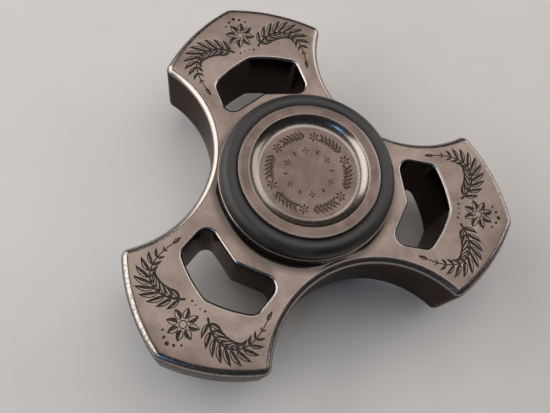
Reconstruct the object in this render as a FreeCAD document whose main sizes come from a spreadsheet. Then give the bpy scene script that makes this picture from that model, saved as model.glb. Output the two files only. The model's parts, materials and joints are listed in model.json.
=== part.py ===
import FreeCAD, Part
import math
import os
import re

import Sketcher

# A three-armed fidget spinner, in millimetres. A milled steel body turns on a small ball bearing,
# whose inner race is clamped between two turned finger buttons. The origin is the centre of the
# bearing, +Z is the spin axis, and arm A points along +Y. Both faces of the spinner are alike.

ARMS = 3
BALLS = 10
ARM_STEP = 360 / ARMS
BALL_STEP = 360 / BALLS

# name, size, what it measures
SIZES = (
    ("body_thickness", 10.0, "plate between its two flat faces"),
    ("edge_round", 1.0, "rounding of the outer edges of both faces"),
    ("corner_round", 1.1, "rounding of the upright corners of the arms"),
    ("tip_arc_radius", 25.25, "convex arc of one half of an arm's tip"),
    ("tip_arc_reach", 4.55, "centre of that arc, along the arm"),
    ("tip_arc_offset", 6.55, "centre of that arc, past the arm's middle"),
    ("waist_arc_radius", 13.95, "concave arc between two arms"),
    ("waist_arc_reach", 26.35, "centre of that arc, from the spin axis"),
    ("window_half_width", 6.0, "middle of an arm to the side of its window"),
    ("window_inner_apex", 14.25, "spin axis to the blunt point on the window's inner side"),
    ("window_inner_corner", 12.42, "spin axis to the window's inner corners, along the arm"),
    ("window_arc_radius", 17.95, "one half of the window's outer side"),
    ("window_arc_reach", 2.36, "centre of that arc, along the arm"),
    ("window_arc_offset", 3.72, "centre of that arc, past the arm's middle"),
    ("window_inner_round", 1.35, "upright inner corners of a window"),
    ("window_outer_round", 1.2, "upright outer corners of a window"),
    ("window_apex_round", 0.5, "upright points in the middle of a window's two long sides"),
    ("window_edge_round", 0.45, "rounding of the window's edges on both faces"),
    ("boss_radius", 10.5, "flat top of the hub boss"),
    ("boss_cove", 0.8, "concave rounding from the boss down to the face, and the boss height"),
    ("bearing_radius", 6.35, "outside of the bearing"),
    ("bearing_bore", 3.175, "bore of the bearing"),
    ("bearing_width", 4.762, "width of the bearing"),
    ("bearing_bevel", 0.15, "bevels of both races"),
    ("bearing_ledge", 5.8, "hole through the ledge that the outer race sits on"),
    ("hub_bore", 6.4, "opening above the snap ring"),
    ("pitch_radius", 4.7625, "circle through the balls' centres"),
    ("ball_radius", 0.79375, "one ball"),
    ("ball_clearance", 0.01, "running clearance of a ball in each raceway"),
    ("raceway_radius", 0.84, "hollow of a raceway"),
    ("inner_land", 4.17, "shoulder of the inner race"),
    ("inner_step", 4.05, "end of the inner race, inside the shield"),
    ("inner_step_height", 1.6, "middle of the bearing to that step"),
    ("outer_land", 5.35, "shoulder of the outer race"),
    ("shield_seat", 5.8, "recess in the outer race for a shield"),
    ("shield_height", 1.75, "middle of the bearing to the inside of a shield"),
    ("shield_thickness", 0.2, "sheet of a shield"),
    ("shield_hole", 4.2, "hole of a shield"),
    ("clip_groove", 5.9, "groove in the outer race for a shield's clip"),
    ("clip_outer", 5.88, "outside of a clip"),
    ("clip_inner", 5.45, "inside of a clip"),
    ("clip_thickness", 0.2, "flat wire of a clip"),
    ("clip_play", 0.03, "room for the clip in its groove"),
    ("clip_gap", 14.0, "opening of a clip, in degrees"),
    ("cage_inner", 4.45, "inside of the ball cage"),
    ("cage_outer", 5.1, "outside of the ball cage"),
    ("cage_floor", 1.3, "middle of the bearing down to the cage's closed edge"),
    ("cage_lip", 0.45, "middle of the bearing up to the cage's open edge"),
    ("pocket_radius", 0.84, "ball pocket of the cage"),
    ("snap_thickness", 0.6, "snap ring"),
    ("snap_play", 0.02, "room for the snap ring in its groove, above it"),
    ("snap_groove", 6.75, "groove for the snap ring"),
    ("snap_outer", 6.7, "outside of the snap ring"),
    ("snap_inner", 5.7, "inside of the snap ring"),
    ("snap_gap", 26.0, "opening of the snap ring, in degrees"),
    ("snap_lug", 0.62, "radius of a lug of the snap ring"),
    ("snap_lug_reach", 5.68, "spin axis to the middle of a lug"),
    ("snap_lug_turn", 18.0, "angle between the gap's middle and a lug, in degrees"),
    ("snap_lug_hole", 0.3, "plier hole of a lug"),
    ("spacer_thickness", 0.5, "shim washer between the inner race and a button"),
    ("spacer_inner", 3.2, "hole of a spacer"),
    ("spacer_outer", 4.0, "outside of a spacer"),
    ("spacer_bevel", 0.1, "bevels of a spacer"),
    ("spigot_radius", 3.165, "spigot of a button, inside the inner race"),
    ("spigot_gap", 0.1, "middle of the bearing to the end of a spigot"),
    ("spigot_bevel", 0.25, "bevel at the end of a spigot"),
    ("button_neck", 4.0, "neck between the spacer and the flange"),
    ("flange_radius", 11.4, "flange that faces the boss"),
    ("flange_floor", 6.15, "origin to the underside of the flange"),
    ("flange_bevel", 0.2, "lower edge of the flange"),
    ("lip_height", 7.75, "origin to the top of the flange's thin lip"),
    ("rim_radius", 9.02, "outside of the rim that the finger touches"),
    ("rim_height", 9.6, "origin to the flat of the rim"),
    ("rim_bevel", 0.12, "outer edge of the rim"),
    ("dish_radius", 7.62, "inside of the rim"),
    ("dish_floor_radius", 6.0, "flat floor of the dish"),
    ("dish_depth", 1.05, "flat of the rim down to the floor of the dish"),
    ("centre_mark_radius", 0.22, "turning mark in the middle of the dish"),
    ("centre_mark_depth", 0.12, "depth of that mark"),
    ("ring_section", 2.62, "thickness of a rubber ring"),
    ("ring_mean_radius", 9.87, "spin axis to the middle of a rubber ring's section"),
    ("ring_height", 8.2, "origin to the middle of a rubber ring"),
    ("ring_play", 0.02, "groove round a rubber ring"),
    ("stud_radius", 1.98, "grub screw that clamps the buttons"),
    ("stud_length", 10.0, "length of the grub screw"),
    ("stud_bevel", 0.4, "bevels of the grub screw"),
    ("stud_bore", 2.0, "tapped hole in a button"),
    ("stud_bore_height", 5.6, "origin to the end of the tapped hole"),
    ("socket_flats", 2.0, "hexagon socket across its flats"),
    ("socket_depth", 2.2, "depth of the hexagon socket"),
)
SIZE = {name: size for name, size, meaning in SIZES}

# Heights and radii that follow from the sizes above, as formulas on the sheet.
FACE = "body_thickness / 2"
BOSS_TOP = f"({FACE} + boss_cove)"
BEARING_FACE = "bearing_width / 2"
SPACER_FACE = f"({BEARING_FACE} + spacer_thickness)"
DISH_FLOOR = "(rim_height - dish_depth)"
RING_GROOVE = "(ring_section / 2 + ring_play)"
DISH_COVE = "(((dish_radius - dish_floor_radius) ^ 2 + dish_depth ^ 2) / (2 * dish_depth))"
CLEAR = 1.0  # how far a cutting profile runs past the solid

UPPER = FreeCAD.Placement()
LOWER = FreeCAD.Placement(FreeCAD.Vector(), FreeCAD.Rotation(FreeCAD.Vector(1, 0, 0), 180))


# ---------------------------------------------------------------- the sheet and its formulas


def make_sheet(doc):
    sheet = doc.addObject("Spreadsheet::Sheet", "Sizes")
    for row, (name, size, meaning) in enumerate(SIZES, start=1):
        sheet.set(f"A{row}", meaning)
        sheet.set(f"B{row}", str(size))
        sheet.setAlias(f"B{row}", name)
    doc.recompute()


def bound(formula):
    """The formula with each size's name turned into a reference to the sheet."""
    return re.sub(r"[a-z][a-z_]+", lambda word: f"Sizes.{word[0]}" if word[0] in SIZE else word[0], formula)


def amount(holder, formula):
    return float(holder.evalExpression(bound(formula)))


def bind(feature, **formulas):
    for name, formula in formulas.items():
        feature.setExpression(name, bound(formula))


# ---------------------------------------------------------------- sketches


def origin_part(body, role):
    return next(part for part in body.Origin.OriginFeatures if part.Role == role)


def new_sketch(body, name, plane):
    sketch = body.newObject("Sketcher::SketchObject", name)
    sketch.AttachmentSupport = [(origin_part(body, plane), "")]
    sketch.MapMode = "FlatFace"
    return sketch


def dimension(sketch, formula, kind, *place):
    number = sketch.addConstraint(Sketcher.Constraint(kind, *place, amount(sketch, formula)))
    sketch.setExpression(f"Constraints[{number}]", bound(formula))


def pin_point(sketch, geometry, end, corner):
    """Hold a point at (across, up), given as formulas; a plain 0 puts it on the axis."""
    across, up = corner
    if across == "0":
        sketch.addConstraint(Sketcher.Constraint("PointOnObject", geometry, end, -2))
    else:
        dimension(sketch, across, "DistanceX", geometry, end)
    if up == "0":
        sketch.addConstraint(Sketcher.Constraint("PointOnObject", geometry, end, -1))
    else:
        dimension(sketch, up, "DistanceY", geometry, end)


def arc_about(centre, start, end, turns_left):
    """The arc from start to end about centre, anticlockwise when it turns left."""
    first, last = (start, end) if turns_left else (end, start)
    radius = (start - centre).Length
    angles = [math.atan2(point.y - centre.y, point.x - centre.x) for point in (first, last)]
    return Part.ArcOfCircle(Part.Circle(centre, FreeCAD.Vector(0, 0, 1), radius), *angles)


def arc_centre(start, end, radius, turns_left):
    """Centre of the shorter arc of this radius between two points."""
    chord = end - start
    left = FreeCAD.Vector(-chord.y, chord.x, 0).normalize()
    depth = math.sqrt(max(radius**2 - (chord.Length / 2) ** 2, 0.0))
    return (start + end) * 0.5 + left * (depth if turns_left else -depth)


def join_sides(sketch, ends):
    """Close a loop of sides. ends holds each side's geometry with its first and last point."""
    for side, (geometry, first, last) in enumerate(ends):
        after, after_first, after_last = ends[(side + 1) % len(ends)]
        sketch.addConstraint(Sketcher.Constraint("Coincident", geometry, last, after, after_first))


def draw_profile(sketch, corners, arcs=None):
    """A closed profile through corners (across, up). arcs[n] = (radius, turns_left) bends side n."""
    arcs = arcs or {}
    points = [FreeCAD.Vector(amount(sketch, across), amount(sketch, up), 0) for across, up in corners]
    ends = []
    for side, start in enumerate(points):
        end = points[(side + 1) % len(points)]
        if side not in arcs:
            ends.append((sketch.addGeometry(Part.LineSegment(start, end)), 1, 2))
            continue
        radius, turns_left = arcs[side]
        centre = arc_centre(start, end, amount(sketch, radius), turns_left)
        geometry = sketch.addGeometry(arc_about(centre, start, end, turns_left))
        ends.append((geometry, 1, 2) if turns_left else (geometry, 2, 1))
    join_sides(sketch, ends)
    for (geometry, first, last), corner in zip(ends, corners):
        pin_point(sketch, geometry, first, corner)
    for side, (radius, turns_left) in arcs.items():
        dimension(sketch, radius, "Radius", ends[side][0])


def meeting_point(first, second, near):
    """Where two circles (centre, radius) cross, on the side of near."""
    (centre_a, radius_a), (centre_b, radius_b) = first, second
    line = centre_b - centre_a
    along = (radius_a**2 - radius_b**2 + line.Length**2) / (2 * line.Length)
    aside = math.sqrt(radius_a**2 - along**2)
    unit = FreeCAD.Vector(line).normalize()
    across = FreeCAD.Vector(-unit.y, unit.x, 0)
    crossings = [centre_a + unit * along + across * (aside * sign) for sign in (1, -1)]
    return min(crossings, key=lambda point: (point - near).Length)


# ---------------------------------------------------------------- features


def new_body(doc, name):
    body = doc.addObject("PartDesign::Body", name)
    body.Label = name
    return body


def add_feature(body, kind, name, sketch, **settings):
    feature = body.newObject(f"PartDesign::{kind}", name)
    feature.Profile = sketch
    for setting, choice in settings.items():
        setattr(feature, setting, choice)
    return feature


def turn(body, kind, name, corners, arcs=None):
    """Revolve a profile, drawn as (radius, height), about the spin axis."""
    sketch = new_sketch(body, f"{name}_profile", "XZ_Plane")
    draw_profile(sketch, corners, arcs)
    feature = add_feature(body, kind, name, sketch)
    feature.ReferenceAxis = (sketch, ["V_Axis"])
    feature.Angle = 360
    return feature


def repeat_round_axis(body, name, feature, count):
    pattern = body.newObject("PartDesign::PolarPattern", name)
    pattern.Originals = [feature]
    pattern.Axis = (origin_part(body, "Z_Axis"), [""])
    pattern.Angle = 360
    pattern.Occurrences = count
    body.Tip = pattern
    return pattern


def round_edges(body, name, radius, pick):
    """Round the edges of the body that pick(edge) chooses."""
    base = body.Tip
    body.Document.recompute()
    chosen = [f"Edge{number}" for number, edge in enumerate(base.Shape.Edges, start=1) if pick(edge)]
    fillet = body.newObject("PartDesign::Fillet", name)
    fillet.Base = (base, chosen)
    bind(fillet, Radius=radius)
    body.Tip = fillet
    return fillet


def distance_from_axis(point):
    return math.hypot(point.x, point.y)


def upright_between(nearest, farthest):
    """Picks upright edges whose distance from the spin axis lies in this range."""

    def pick(edge):
        ends = [vertex.Point for vertex in edge.Vertexes]
        upright = len(ends) == 2 and distance_from_axis(ends[0] - ends[1]) < 1e-4
        return upright and nearest < distance_from_axis(ends[0]) < farthest

    return pick


def outline_of_faces(shape, outer):
    """Picks the outer outline of the two flat faces, or else the outlines of their holes."""
    half = SIZE["body_thickness"] / 2
    flats = [face for face in shape.Faces if abs(abs(face.CenterOfMass.z) - half) < 1e-4]
    rims = [edge for face in flats for edge in face.OuterWire.Edges]
    holes = [
        edge
        for face in flats
        for wire in face.Wires
        if not wire.isSame(face.OuterWire)
        for edge in wire.Edges
    ]
    wanted = rims if outer else holes
    return lambda edge: any(edge.isSame(other) for other in wanted)


# ---------------------------------------------------------------- spinner body


def arm_point(across, along, angle):
    """A point given across and along arm A, turned about the spin axis, as two formulas."""
    return (
        f"(({across}) * cos({angle}) - ({along}) * sin({angle}))",
        f"(({across}) * sin({angle}) + ({along}) * cos({angle}))",
    )


def outline_arcs():
    """Centre, radius and bend of the nine arcs of the outline, anticlockwise from arm A's tip."""
    arcs = []
    for arm in range(ARMS):
        angle = arm * ARM_STEP
        arcs.append((arm_point("tip_arc_offset", "tip_arc_reach", angle), "tip_arc_radius", True))
        waist = arm_point("0", "waist_arc_reach", angle + ARM_STEP / 2)
        arcs.append((waist, "waist_arc_radius", False))
        following = arm_point("-tip_arc_offset", "tip_arc_reach", angle + ARM_STEP)
        arcs.append((following, "tip_arc_radius", True))
    return arcs


def draw_body_outline(sketch):
    arcs = outline_arcs()
    circles = []
    for centre, radius, turns_left in arcs:
        place = FreeCAD.Vector(amount(sketch, centre[0]), amount(sketch, centre[1]), 0)
        circles.append((place, amount(sketch, radius)))
    reach = SIZE["tip_arc_reach"] + SIZE["tip_arc_radius"]
    corners = []
    for number, circle in enumerate(circles):
        bend_before = circles[number - 1]
        turned = math.radians(90 + ARM_STEP * number / 3)
        near = FreeCAD.Vector(reach * math.cos(turned), reach * math.sin(turned), 0)
        corners.append(meeting_point(bend_before, circle, near))
    ends = []
    for number, (centre, radius, turns_left) in enumerate(arcs):
        start, end = corners[number], corners[(number + 1) % len(corners)]
        geometry = sketch.addGeometry(arc_about(circles[number][0], start, end, turns_left))
        ends.append((geometry, 1, 2) if turns_left else (geometry, 2, 1))
    join_sides(sketch, ends)
    for (centre, radius, turns_left), (geometry, first, last) in zip(arcs, ends):
        dimension(sketch, radius, "Radius", geometry)
        pin_point(sketch, geometry, 3, centre)


def draw_window(sketch):
    """Arm A's window: a blunt point on its inner side and two arcs that meet on its outer side."""
    half_width = SIZE["window_half_width"]
    radius = SIZE["window_arc_radius"]
    reach = SIZE["window_arc_reach"]
    offset = SIZE["window_arc_offset"]
    side_end = reach + math.sqrt(radius**2 - (half_width + offset) ** 2)
    apex_end = reach + math.sqrt(radius**2 - offset**2)
    inner_apex = FreeCAD.Vector(0, SIZE["window_inner_apex"], 0)
    outer_apex = FreeCAD.Vector(0, apex_end, 0)
    ends = []
    for hand in (1, -1):
        inner = FreeCAD.Vector(hand * half_width, SIZE["window_inner_corner"], 0)
        outer = FreeCAD.Vector(hand * half_width, side_end, 0)
        arc = arc_about(FreeCAD.Vector(-hand * offset, reach, 0), outer, outer_apex, hand > 0)
        sides = (Part.LineSegment(inner_apex, inner), Part.LineSegment(inner, outer), arc)
        slope, side, bend = (sketch.addGeometry(shape) for shape in sides)
        loop = [(slope, 1, 2), (side, 1, 2), (bend, 1, 2) if hand > 0 else (bend, 2, 1)]
        ends += loop if hand > 0 else [(piece, last, first) for piece, first, last in reversed(loop)]
        pin_point(sketch, side, 1, (f"{hand} * window_half_width", "window_inner_corner"))
        sketch.addConstraint(Sketcher.Constraint("Vertical", side))
        dimension(sketch, "window_arc_radius", "Radius", bend)
        pin_point(sketch, bend, 3, (f"{-hand} * window_arc_offset", "window_arc_reach"))
    join_sides(sketch, ends)
    pin_point(sketch, ends[0][0], 1, ("0", "window_inner_apex"))


def cut_windows(body):
    sketch = new_sketch(body, "window_outline", "XY_Plane")
    draw_window(sketch)
    pocket = add_feature(body, "Pocket", "window_cut", sketch, SideType="Symmetric")
    bind(pocket, Length=f"body_thickness + {2 * CLEAR}")
    repeat_round_axis(body, "windows", pocket, ARMS)


def round_body(body):
    window_end = SIZE["window_arc_reach"] + SIZE["window_arc_radius"]
    window_corner = math.hypot(SIZE["window_half_width"], SIZE["window_inner_corner"])
    apex = SIZE["window_inner_apex"]
    round_edges(body, "arm_corners", "corner_round", upright_between(window_end + 1, 100))
    at_inner_corner = upright_between(window_corner - 0.2, window_corner + 0.2)
    round_edges(body, "inner_corners", "window_inner_round", at_inner_corner)
    round_edges(body, "inner_points", "window_apex_round", upright_between(apex - 0.05, apex + 0.05))
    round_edges(body, "outer_corners", "window_outer_round", upright_between(apex + 3, window_end - 1.2))
    body.Document.recompute()
    round_edges(body, "outer_edges", "edge_round", outline_of_faces(body.Tip.Shape, outer=True))
    body.Document.recompute()
    round_edges(body, "window_edges", "window_edge_round", outline_of_faces(body.Tip.Shape, outer=False))


def add_boss(body):
    """The raised hub on both faces, with a concave rounding down to the face."""
    foot = "(boss_radius + boss_cove)"
    corners = [
        ("hub_bore - 1", f"-{BOSS_TOP}"),
        ("boss_radius", f"-{BOSS_TOP}"),
        (foot, f"-{FACE}"),
        (foot, FACE),
        ("boss_radius", BOSS_TOP),
        ("hub_bore - 1", BOSS_TOP),
    ]
    turn(body, "Revolution", "hub_boss", corners, {1: ("boss_cove", False), 3: ("boss_cove", False)})


def bore_hub(body):
    """The bearing's seat on its ledge, the snap ring's groove and the opening above it."""
    groove_top = f"({BEARING_FACE} + snap_thickness + snap_play)"
    corners = [
        ("0", f"-{BOSS_TOP} - {CLEAR}"),
        ("bearing_ledge", f"-{BOSS_TOP} - {CLEAR}"),
        ("bearing_ledge", f"-{BEARING_FACE}"),
        ("bearing_radius", f"-{BEARING_FACE}"),
        ("bearing_radius", BEARING_FACE),
        ("snap_groove", BEARING_FACE),
        ("snap_groove", groove_top),
        ("hub_bore", groove_top),
        ("hub_bore", f"{BOSS_TOP} + {CLEAR}"),
        ("0", f"{BOSS_TOP} + {CLEAR}"),
    ]
    turn(body, "Groove", "hub_bores", corners)


def spinner_body(doc):
    body = new_body(doc, "spinner_body")
    sketch = new_sketch(body, "body_outline", "XY_Plane")
    draw_body_outline(sketch)
    plate = add_feature(body, "Pad", "plate", sketch, SideType="Symmetric")
    bind(plate, Length="body_thickness")
    cut_windows(body)
    round_body(body)
    add_boss(body)
    bore_hub(body)
    return body


# ---------------------------------------------------------------- bearing


def raceway_edge(centre, land):
    """Height at which the raceway's arc meets the land."""
    return f"sqrt(raceway_radius ^ 2 - ({land} - {centre}) ^ 2)"


def outer_race(doc):
    body = new_body(doc, "bearing_outer_race")
    centre = "(pitch_radius + ball_radius + ball_clearance - raceway_radius)"
    edge = raceway_edge(centre, "outer_land")
    groove = "(shield_height + shield_thickness)"
    groove_end = f"({groove} + clip_thickness + clip_play)"
    half = [
        ("outer_land", edge),
        ("outer_land", "shield_height"),
        ("shield_seat", "shield_height"),
        ("shield_seat", groove),
        ("clip_groove", groove),
        ("clip_groove", groove_end),
        ("shield_seat", groove_end),
        ("shield_seat", BEARING_FACE),
        ("bearing_radius - bearing_bevel", BEARING_FACE),
        ("bearing_radius", f"{BEARING_FACE} - bearing_bevel"),
    ]
    corners = half + [(radius, f"-({height})") for radius, height in reversed(half)]
    turn(body, "Revolution", "race", corners, {len(corners) - 1: ("raceway_radius", True)})
    return body


def inner_race(doc):
    body = new_body(doc, "bearing_inner_race")
    centre = "(pitch_radius - ball_radius - ball_clearance + raceway_radius)"
    edge = raceway_edge(centre, "inner_land")
    half = [
        ("inner_land", edge),
        ("inner_land", "inner_step_height"),
        ("inner_step", "inner_step_height"),
        ("inner_step", f"{BEARING_FACE}"),
        ("bearing_bore + bearing_bevel", BEARING_FACE),
        ("bearing_bore", f"{BEARING_FACE} - bearing_bevel"),
    ]
    corners = half + [(radius, f"-({height})") for radius, height in reversed(half)]
    turn(body, "Revolution", "race", corners, {len(corners) - 1: ("raceway_radius", False)})
    return body


def cage(doc):
    """A crown cage: a ring with round pockets that are open on one side."""
    body = new_body(doc, "bearing_cage")
    corners = [
        ("cage_inner", "-cage_floor"),
        ("cage_outer", "-cage_floor"),
        ("cage_outer", "cage_lip"),
        ("cage_inner", "cage_lip"),
    ]
    turn(body, "Revolution", "ring", corners)
    pocket = body.newObject("PartDesign::SubtractiveSphere", "pocket")
    bind(pocket, Radius="pocket_radius")
    bind(pocket, **{"Placement.Base.x": "pitch_radius"})
    repeat_round_axis(body, "pockets", pocket, BALLS)
    return body


def balls(doc):
    """Each ball is a piece of its own, because each one rolls on its own axis."""
    row = []
    for number in range(BALLS):
        ball = doc.addObject("Part::Sphere", f"bearing_ball_{number + 1:02d}")
        ball.Label = ball.Name
        bind(ball, Radius="ball_radius")
        angle = number * BALL_STEP
        bind(ball, **{"Placement.Base.x": f"pitch_radius * cos({angle})"})
        bind(ball, **{"Placement.Base.y": f"pitch_radius * sin({angle})"})
        row.append(ball)
    return row


def washer(doc, name, inner, outer, floor, top):
    """A plain ring of rectangular section, given by four formulas."""
    body = new_body(doc, name)
    turn(body, "Revolution", "ring", [(inner, floor), (outer, floor), (outer, top), (inner, top)])
    return body


def shield(doc, side, place):
    top = "shield_height + shield_thickness"
    body = washer(doc, f"{side}_shield", "shield_hole", "shield_seat", "shield_height", top)
    body.Placement = place
    return body


def shield_clip(doc, side, place):
    """An open ring of flat wire that springs into the outer race and holds the shield down."""
    floor = "(shield_height + shield_thickness)"
    body = washer(doc, f"{side}_shield_clip", "clip_inner", "clip_outer", floor, f"{floor} + clip_thickness")
    bind(body.Tip, Angle="360 - clip_gap")
    body.Placement = place
    return body


def place_on_lug(feature, hand):
    turn_to_lug = f"({hand} * snap_lug_turn - snap_gap / 2)"
    places = {
        "Placement.Base.x": f"snap_lug_reach * cos({turn_to_lug})",
        "Placement.Base.y": f"snap_lug_reach * sin({turn_to_lug})",
        "Placement.Base.z": BEARING_FACE,
    }
    bind(feature, **places)


def snap_ring(doc):
    """An open retaining ring with a plier hole in the lug at each end, lying on the outer race."""
    top = f"{BEARING_FACE} + snap_thickness"
    body = washer(doc, "bearing_snap_ring", "snap_inner", "snap_outer", BEARING_FACE, top)
    bind(body.Tip, Angle="360 - snap_gap")
    for kind, radius in (("AdditiveCylinder", "snap_lug"), ("SubtractiveCylinder", "snap_lug_hole")):
        for hand in (1, -1):
            cylinder = body.newObject(f"PartDesign::{kind}", f"{radius}_{'ab'[hand > 0]}")
            bind(cylinder, Radius=radius, Height="snap_thickness")
            place_on_lug(cylinder, hand)
    return body


# ---------------------------------------------------------------- the held parts


def spacer(doc, side, place):
    body = new_body(doc, f"{side}_spacer")
    corners = [
        ("spacer_inner", f"{BEARING_FACE}"),
        ("spacer_outer - spacer_bevel", f"{BEARING_FACE}"),
        ("spacer_outer", f"{BEARING_FACE} + spacer_bevel"),
        ("spacer_outer", f"{SPACER_FACE} - spacer_bevel"),
        ("spacer_outer - spacer_bevel", SPACER_FACE),
        ("spacer_inner", SPACER_FACE),
    ]
    turn(body, "Revolution", "ring", corners)
    body.Placement = place
    return body


def button(doc, side, place):
    """A turned cap. From below: spigot, neck, flange, groove for the rubber ring, rim and dish."""
    body = new_body(doc, f"{side}_button")
    lip_inner = f"(ring_mean_radius + sqrt({RING_GROOVE} ^ 2 - (ring_height - lip_height) ^ 2))"
    rim_floor = f"(ring_height + sqrt({RING_GROOVE} ^ 2 - (ring_mean_radius - rim_radius) ^ 2))"
    corners = [
        ("stud_bore", "spigot_gap"),
        ("spigot_radius - spigot_bevel", "spigot_gap"),
        ("spigot_radius", "spigot_gap + spigot_bevel"),
        ("spigot_radius", SPACER_FACE),
        ("button_neck", SPACER_FACE),
        ("button_neck", "flange_floor"),
        ("flange_radius - flange_bevel", "flange_floor"),
        ("flange_radius", "flange_floor + flange_bevel"),
        ("flange_radius", "lip_height"),
        (lip_inner, "lip_height"),
        ("ring_mean_radius", f"ring_height - {RING_GROOVE}"),
        ("rim_radius", rim_floor),
        ("rim_radius", "rim_height - rim_bevel"),
        ("rim_radius - rim_bevel", "rim_height"),
        ("dish_radius", "rim_height"),
        ("dish_floor_radius", DISH_FLOOR),
        ("centre_mark_radius", DISH_FLOOR),
        ("0", f"{DISH_FLOOR} - centre_mark_depth"),
        ("0", "stud_bore_height"),
        ("stud_bore", "stud_bore_height"),
    ]
    arcs = {9: (RING_GROOVE, False), 10: (RING_GROOVE, False), 14: (DISH_COVE, False)}
    turn(body, "Revolution", "turned_cap", corners, arcs)
    body.Placement = place
    return body


def rubber_ring(doc, side, sign):
    ring = doc.addObject("Part::Torus", f"{side}_button_ring")
    ring.Label = ring.Name
    bind(ring, Radius1="ring_mean_radius", Radius2="ring_section / 2")
    bind(ring, **{"Placement.Base.z": f"{sign} * ring_height"})
    return ring


def draw_hexagon(sketch, flats):
    across_corners = f"({flats} / sqrt(3))"
    corners = [
        (f"{across_corners} * cos({60 * corner})", f"{across_corners} * sin({60 * corner})")
        for corner in range(6)
    ]
    draw_profile(sketch, corners)


def stud(doc):
    """The grub screw that draws the two buttons together through the bearing."""
    body = new_body(doc, "button_stud")
    end = "stud_length / 2"
    corners = [
        ("0", f"-{end}"),
        ("stud_radius - stud_bevel", f"-{end}"),
        ("stud_radius", f"-{end} + stud_bevel"),
        ("stud_radius", f"{end} - stud_bevel"),
        ("stud_radius - stud_bevel", end),
        ("0", end),
    ]
    turn(body, "Revolution", "shank", corners)
    sketch = new_sketch(body, "socket_outline", "XY_Plane")
    sketch.setExpression("AttachmentOffset.Base.z", bound(end))
    draw_hexagon(sketch, "socket_flats")
    socket = add_feature(body, "Pocket", "socket", sketch)
    bind(socket, Length="socket_depth")
    return body


# ---------------------------------------------------------------- checking and writing


def check_document(doc, parts):
    """Stop if anything failed, if a cut removed nothing, or if a sketch has a loose corner."""
    for item in doc.Objects:
        if {"Invalid", "Error"} & set(item.State):
            raise RuntimeError(f"{item.Name} failed: {item.State}")
        if item.TypeId in ("PartDesign::Pocket", "PartDesign::Groove"):
            if item.Shape.Volume > item.BaseFeature.Shape.Volume - 1e-3:
                raise RuntimeError(f"{item.Name} cuts nothing")
        if item.TypeId == "Sketcher::SketchObject" and not item.FullyConstrained:
            raise RuntimeError(f"{item.Name} isn't fully constrained")
    for part in parts:
        if part.Shape.isNull() or not part.Shape.isValid():
            raise RuntimeError(f"{part.Label} has no valid shape")
        if len(part.Shape.Solids) != 1:
            raise RuntimeError(f"{part.Label} is {len(part.Shape.Solids)} solids")


def main():
    doc = FreeCAD.newDocument("fidget_spinner")
    make_sheet(doc)
    parts = [spinner_body(doc), outer_race(doc), inner_race(doc), cage(doc), snap_ring(doc), stud(doc)]
    parts += balls(doc)
    for side, sign, place in (("upper", 1, UPPER), ("lower", -1, LOWER)):
        parts.append(shield(doc, side, place))
        parts.append(shield_clip(doc, side, place))
        parts.append(spacer(doc, side, place))
        parts.append(button(doc, side, place))
        parts.append(rubber_ring(doc, side, sign))
    doc.recompute()
    check_document(doc, parts)
    os.makedirs("parts", exist_ok=True)
    for part in parts:
        part.Shape.exportStep(f"parts/{part.Label}.step")
        print(f"{part.Label}: {part.Shape.Volume:.3f} mm3")


main()
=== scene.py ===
import json
import math

import bpy
from mathutils import Matrix, Vector
from mathutils.geometry import delaunay_2d_cdt


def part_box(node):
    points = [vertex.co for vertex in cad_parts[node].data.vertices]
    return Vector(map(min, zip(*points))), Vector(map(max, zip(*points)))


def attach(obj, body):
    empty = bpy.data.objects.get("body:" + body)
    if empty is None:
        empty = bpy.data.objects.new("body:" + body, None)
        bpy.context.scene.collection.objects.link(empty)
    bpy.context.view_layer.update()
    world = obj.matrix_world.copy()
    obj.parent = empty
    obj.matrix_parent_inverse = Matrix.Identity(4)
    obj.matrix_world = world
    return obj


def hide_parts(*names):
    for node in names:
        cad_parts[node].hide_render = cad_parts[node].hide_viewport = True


# The looks of a three-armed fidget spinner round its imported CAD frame. Shapes are worked out in
# millimetres and turned into metres as each mesh is made. Arm A points along +Y, the spin axis is Z,
# and everything below the middle plane is the upper half turned over.

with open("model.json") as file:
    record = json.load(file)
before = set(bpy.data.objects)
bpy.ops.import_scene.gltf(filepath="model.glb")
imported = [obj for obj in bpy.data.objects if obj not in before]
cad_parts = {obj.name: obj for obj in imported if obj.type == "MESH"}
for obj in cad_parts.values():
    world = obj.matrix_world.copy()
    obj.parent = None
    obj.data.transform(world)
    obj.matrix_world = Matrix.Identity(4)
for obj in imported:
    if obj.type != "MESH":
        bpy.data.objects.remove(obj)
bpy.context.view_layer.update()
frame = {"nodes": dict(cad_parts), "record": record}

MM = 0.001
ARMS = 3
ARM_STEP = 2 * math.pi / ARMS


def high_corner(node):
    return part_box(node)[1] / MM


# Sizes read from the frame
BOSS_TOP = high_corner("spinner_body").z
RIM_TOP = high_corner("upper_button").z
FLANGE_RADIUS = high_corner("upper_button").x
RING_OUTER = high_corner("upper_button_ring").x
RING_TOP = high_corner("upper_button_ring").z
RING_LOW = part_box("upper_button_ring")[0].z / MM
BEARING_RADIUS = high_corner("bearing_outer_race").x
BEARING_FACE = high_corner("bearing_outer_race").z
SPACER_FACE = high_corner("upper_spacer").z

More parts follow.
